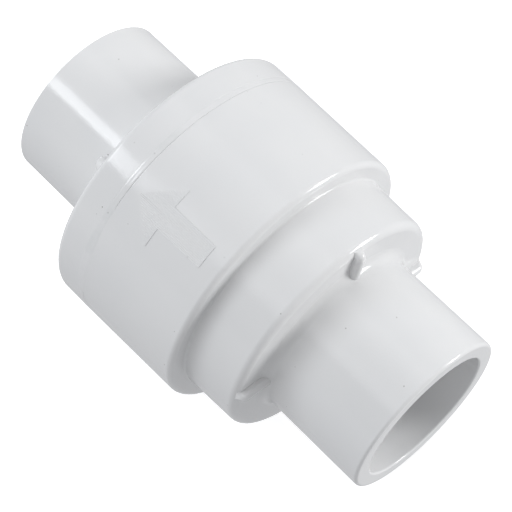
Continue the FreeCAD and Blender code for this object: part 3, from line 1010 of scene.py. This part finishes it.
def bearing_polymer():
    """Matt yellow-brown bearing plastic with its dark filler showing."""
    material, tree, shader = started("bearing_polymer")
    clouded = placed(tree, MOTTLE, colour=(0.55, 0.38, 0.12, 1), shade=(0.45, 0.30, 0.09, 1), cells=300.0)
    filler = placed(tree, SPECKS, cells=2200.0, size=0.3, rarity=0.5).outputs["Mask"]
    worn = placed(tree, EDGES, reach=0.08).outputs["Worn"]
    filled = tinted(tree, clouded.outputs["Colour"], (0.12, 0.08, 0.03, 1), filler, 0.7)
    tree.links.new(tinted(tree, filled, (0.72, 0.55, 0.25, 1), worn, 0.5), shader.inputs["Base Color"])
    tree.links.new(calculated(tree, "SUBTRACT", 0.5, calculated(tree, "MULTIPLY", worn, 0.2)),
                   shader.inputs["Roughness"])
    bumped(tree, shader, placed(tree, GRAIN, cells=2500.0, waviness=0.5).outputs["Height"], 0.00004)
    return material


def seal_rubber():
    """Black rubber with a bloom of talc."""
    material, tree, shader = started("seal_rubber")
    clouded = placed(tree, MOTTLE, colour=(0.012, 0.012, 0.013, 1), shade=(0.03, 0.03, 0.03, 1), cells=120.0)
    talc = placed(tree, SPECKS, cells=900.0, size=0.16, rarity=0.75).outputs["Mask"]
    worn = placed(tree, EDGES, reach=0.06).outputs["Worn"]
    dusted = tinted(tree, clouded.outputs["Colour"], (0.20, 0.20, 0.19, 1), talc, 0.5)
    tree.links.new(tinted(tree, dusted, (0.08, 0.08, 0.08, 1), worn, 0.6), shader.inputs["Base Color"])
    scuffs = placed(tree, SCUFFS, cells=90.0).outputs["Mask"]
    tree.links.new(calculated(tree, "ADD", calculated(tree, "MULTIPLY", scuffs, 0.2), 0.55),
                   shader.inputs["Roughness"])
    bumped(tree, shader, placed(tree, GRAIN, cells=1800.0, waviness=1.0).outputs["Height"], 0.00008)
    return material


def stainless(name, colour, shade, gloss, rings, depth):
    """Stainless steel with tool rings, clouded gloss and brighter edges."""
    material, tree, shader = started(name, 1.0)
    clouded = placed(tree, MOTTLE, colour=colour, shade=shade, cells=220.0).outputs["Colour"]
    worn = placed(tree, EDGES, reach=0.08).outputs["Worn"]
    tree.links.new(tinted(tree, clouded, (0.86, 0.85, 0.83, 1), worn, 0.7), shader.inputs["Base Color"])
    scuffs = placed(tree, SCUFFS, cells=260.0).outputs["Mask"]
    patches = mapped(tree, noise_value(tree, object_place(tree), 320.0, 4.0), 0.35, 0.7)
    dulled = calculated(tree, "ADD", calculated(tree, "MULTIPLY", scuffs, 0.25), gloss)
    tree.links.new(calculated(tree, "ADD", calculated(tree, "MULTIPLY", patches, 0.1), dulled),
                   shader.inputs["Roughness"])
    bumped(tree, shader, placed(tree, TOOL_RINGS, rings=rings).outputs["Height"], depth)
    return material


def turned_stainless():
    return stainless("turned_stainless", (0.62, 0.61, 0.59, 1), (0.54, 0.53, 0.52, 1), 0.2, 30000.0, 0.000006)


def stainless_sheet():
    return stainless("stainless_sheet", (0.66, 0.65, 0.63, 1), (0.58, 0.57, 0.56, 1), 0.27, 22000.0, 0.000003)


def spring_wire():
    """Drawn stainless wire, darker where its drawing soap has stayed."""
    material, tree, shader = started("spring_wire", 1.0)
    clouded = placed(tree, MOTTLE, colour=(0.56, 0.55, 0.53, 1), shade=(0.40, 0.38, 0.35, 1), cells=420.0)
    tree.links.new(clouded.outputs["Colour"], shader.inputs["Base Color"])
    scuffs = placed(tree, SCUFFS, cells=400.0).outputs["Mask"]
    tree.links.new(calculated(tree, "ADD", calculated(tree, "MULTIPLY", scuffs, 0.3), 0.24),
                   shader.inputs["Roughness"])
    bumped(tree, shader, placed(tree, GRAIN, cells=3500.0, waviness=0.3).outputs["Height"], 0.00002)
    return material


def blue_nylon():
    """Blue nylon of the lock nut's insert."""
    material, tree, shader = started("blue_nylon")
    clouded = placed(tree, MOTTLE, colour=(0.03, 0.10, 0.36, 1), shade=(0.02, 0.07, 0.28, 1), cells=500.0)
    scuffs = placed(tree, SCUFFS, cells=500.0).outputs["Mask"]
    tree.links.new(tinted(tree, clouded.outputs["Colour"], (0.25, 0.33, 0.55, 1), scuffs, 0.5),
                   shader.inputs["Base Color"])
    tree.links.new(calculated(tree, "ADD", calculated(tree, "MULTIPLY", scuffs, 0.2), 0.38),
                   shader.inputs["Roughness"])
    bumped(tree, shader, placed(tree, GRAIN, cells=3000.0, waviness=0.5).outputs["Height"], 0.00003)
    return material


# ---------------------------------------------------------------- the valve put together

pvc = white_pvc()
acetal = grey_acetal()
turned_steel = turned_stainless()
sheet_steel = stainless_sheet()
finished(inlet_body(), "inlet_body_moulding", "housing", "white_pvc", pvc, "inlet_body")
finished(outlet_cap(), "outlet_cap_moulding", "housing", "white_pvc", pvc, "outlet_cap")
finished(cement_bead(), "cement_bead_ring", "housing", "cured_cement", cured_cement(), "cement_bead")
finished(outlet_guide(), "outlet_guide_moulding", "housing", "grey_acetal", acetal, "outlet_guide")
finished(guide_bush(), "guide_bush_bearing", "housing", "bearing_polymer", bearing_polymer(), "guide_bush")
finished(rest_washer(), "rest_washer_ring", "housing", "stainless_sheet", sheet_steel, "rest_washer")
coil = finished(spring(), "spring_coil", "housing", "spring_wire", spring_wire(), "spring")
finished(spring_cup(), "spring_cup_pressing", "spring_seat", "stainless_sheet", sheet_steel, "spring_cup")
finished(poppet_disc(), "poppet_backing_disc", "poppet", "grey_acetal", acetal, "poppet_disc")
finished(poppet_seal(), "poppet_seal_disc", "poppet", "seal_rubber", seal_rubber(), "poppet_seal")
finished(wing_guide(), "wing_guide_moulding", "poppet", "grey_acetal", acetal, "wing_guide")
finished(stem(), "stem_turning", "poppet", "turned_stainless", turned_steel, "stem")
finished(front_washer(), "front_washer_ring", "poppet", "stainless_sheet", sheet_steel, "front_washer")
finished(lock_nut(), "lock_nut_hexagon", "poppet", "turned_stainless", turned_steel, "lock_nut")
finished(lock_nut_insert(), "lock_nut_nylon", "poppet", "blue_nylon", blue_nylon(), "lock_nut_insert")
finished(stem_clip(), "stem_clip_ring", "poppet", "stainless_sheet", sheet_steel, "stem_clip")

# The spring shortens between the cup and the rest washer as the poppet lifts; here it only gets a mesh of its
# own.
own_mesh(coil)


# ---------------------------------------------------------------- setting

CAMERA_AZIMUTH = math.radians(-133.23)
CAMERA_ELEVATION = math.radians(63.34)
CAMERA_DISTANCE = 0.6187
CAMERA_AIM = Vector((0.0767, 0.0002, 0.0006))
CAMERA_LENS = 134.1

# Light of the surroundings: a bright panel, the dimmer front, and the table's edge low down.
PANEL_EDGE = math.radians(43.5)
PANEL_LIGHT = 0.44
PANEL_LOW_GAIN = 3.2
FRONT_LIGHT = 0.35
TABLE_EDGE = math.sin(math.radians(8.5))
TABLE_LIGHT = 0.62
STUDIO_TINT = (0.967, 0.977, 1.0, 1)
COOL_WHITE = (0.93, 0.965, 1.0)
LIGHT_AIM = Vector((0.08, 0, 0))
LIGHT_DISTANCE = 1.4
FLOOR_WHITE = (0.95, 0.95, 0.95, 1)
FLOOR_GLOW = 0.4


def aimed(name, data, away, distance, aim, level):
    """Place a camera or light at a distance from its aim, with its width along a level direction."""
    item = bpy.data.objects.new(name, data)
    bpy.context.scene.collection.objects.link(item)
    back = away.normalized()
    side = (level - back * level.dot(back)).normalized()
    turn = Matrix((side, back.cross(side), back)).transposed()
    item.location = aim + back * distance
    item.rotation_euler = turn.to_euler()
    return item


def camera():
    lens = bpy.data.cameras.new("camera")
    lens.lens = CAMERA_LENS
    lens.clip_end = 10
    flat = math.cos(CAMERA_ELEVATION)
    away = Vector((flat * math.sin(CAMERA_AZIMUTH), -flat * math.cos(CAMERA_AZIMUTH),
                   math.sin(CAMERA_ELEVATION)))
    level = Vector((0, 0, 1)).cross(away)
    return aimed("camera", lens, away, CAMERA_DISTANCE, CAMERA_AIM, level)


def softbox(name, away, wide, high, power, colour=(1, 1, 1)):
    """A rectangular studio light with its width along the flow."""
    lamp = bpy.data.lights.new(name, "AREA")
    lamp.shape = "RECTANGLE"
    lamp.size = wide
    lamp.size_y = high
    lamp.energy = power
    lamp.color = colour
    return aimed(name, lamp, Vector(away), LIGHT_DISTANCE, LIGHT_AIM, FLOW)


def floor():
    bm = bmesh.new()
    bmesh.ops.create_grid(bm, x_segments=1, y_segments=1, size=3.0)
    bmesh.ops.translate(bm, verts=bm.verts[:], vec=(0, 0, cad_box[0][2] - 0.0002))
    mesh = bpy.data.meshes.new("floor")
    bm.to_mesh(mesh)
    bm.free()
    material = bpy.data.materials.new("pale_floor")
    material.use_nodes = True
    shader = material.node_tree.nodes["Principled BSDF"]
    shader.inputs["Base Color"].default_value = FLOOR_WHITE
    shader.inputs["Roughness"].default_value = 0.9
    shader.inputs["Emission Color"].default_value = (1, 1, 1, 1)
    shader.inputs["Emission Strength"].default_value = FLOOR_GLOW
    mesh.materials.append(material)
    plane = bpy.data.objects.new("floor", mesh)
    bpy.context.scene.collection.objects.link(plane)
    plane.visible_glossy = False
    plane.visible_diffuse = False


def studio():
    """White surroundings: bright overhead and behind, dimmer in front and towards the inlet."""
    world = bpy.data.worlds.new("studio")
    world.use_nodes = True
    tree = world.node_tree
    background = tree.nodes["Background"]
    coordinates = tree.nodes.new("ShaderNodeTexCoord")

    def share(direction, low, high, dim, bright):
        """Brightness from how far a direction lies along another."""
        facing = tree.nodes.new("ShaderNodeVectorMath")
        facing.operation = "DOT_PRODUCT"
        facing.inputs[1].default_value = direction
        ramp = tree.nodes.new("ShaderNodeMapRange")
        ramp.inputs["From Min"].default_value = low
        ramp.inputs["From Max"].default_value = high
        ramp.inputs["To Min"].default_value = dim
        ramp.inputs["To Max"].default_value = bright
        tree.links.new(coordinates.outputs["Generated"], facing.inputs[0])
        tree.links.new(facing.outputs["Value"], ramp.inputs["Value"])
        return ramp.outputs["Result"]

    def level(operation, first, second):
        """A math node on two sockets."""
        node = tree.nodes.new("ShaderNodeMath")
        node.operation = operation
        tree.links.new(first, node.inputs[0])
        tree.links.new(second, node.inputs[1])
        return node.outputs["Value"]

    panel_way = (0, -math.cos(PANEL_EDGE), math.sin(PANEL_EDGE))
    panel = share(panel_way, 0.0, 0.4, PANEL_LIGHT * PANEL_LOW_GAIN, PANEL_LIGHT)
    along = share(FLOW, -1, 1, 0.5, 1.2)
    on_panel = share(panel_way, -0.02, 0.02, 0, 1)
    off_panel = share(panel_way, -0.02, 0.02, FRONT_LIGHT, 0)
    overhead = level("MULTIPLY", along, level("ADD", level("MULTIPLY", panel, on_panel), off_panel))
    above = share((0, 0, 1), TABLE_EDGE - 0.01, TABLE_EDGE + 0.01, 0, 1)
    table = share((0, 0, 1), TABLE_EDGE - 0.01, TABLE_EDGE + 0.01, TABLE_LIGHT, 0)
    strength = level("ADD", level("MULTIPLY", overhead, above), table)
    tree.links.new(strength, background.inputs["Strength"])
    background.inputs["Color"].default_value = STUDIO_TINT
    bpy.context.scene.world = world


studio()
bpy.context.scene.view_settings.view_transform = "Standard"
bpy.context.scene.camera = camera()
softbox("key_softbox", (0.5, 0.492, 0.712), 0.324, 0.26, 1.3, COOL_WHITE)
softbox("key_fall_off", (0.5, 0.57, 0.652), 0.324, 0.097, 0.35, COOL_WHITE)
softbox("side_softbox", (0.68, 0.44, 0.585), 0.36, 0.36, 3.3, COOL_WHITE)
softbox("rim_softbox", (-0.25, -0.68, 0.69), 0.12, 0.3, 0.4)
softbox("overhead_softbox", (0.3, 0.1, 0.95), 1.6, 1.6, 5.3)
softbox("mouth_softbox", (-0.62, -0.73, 0.3), 0.5, 0.5, 12.5)
floor()
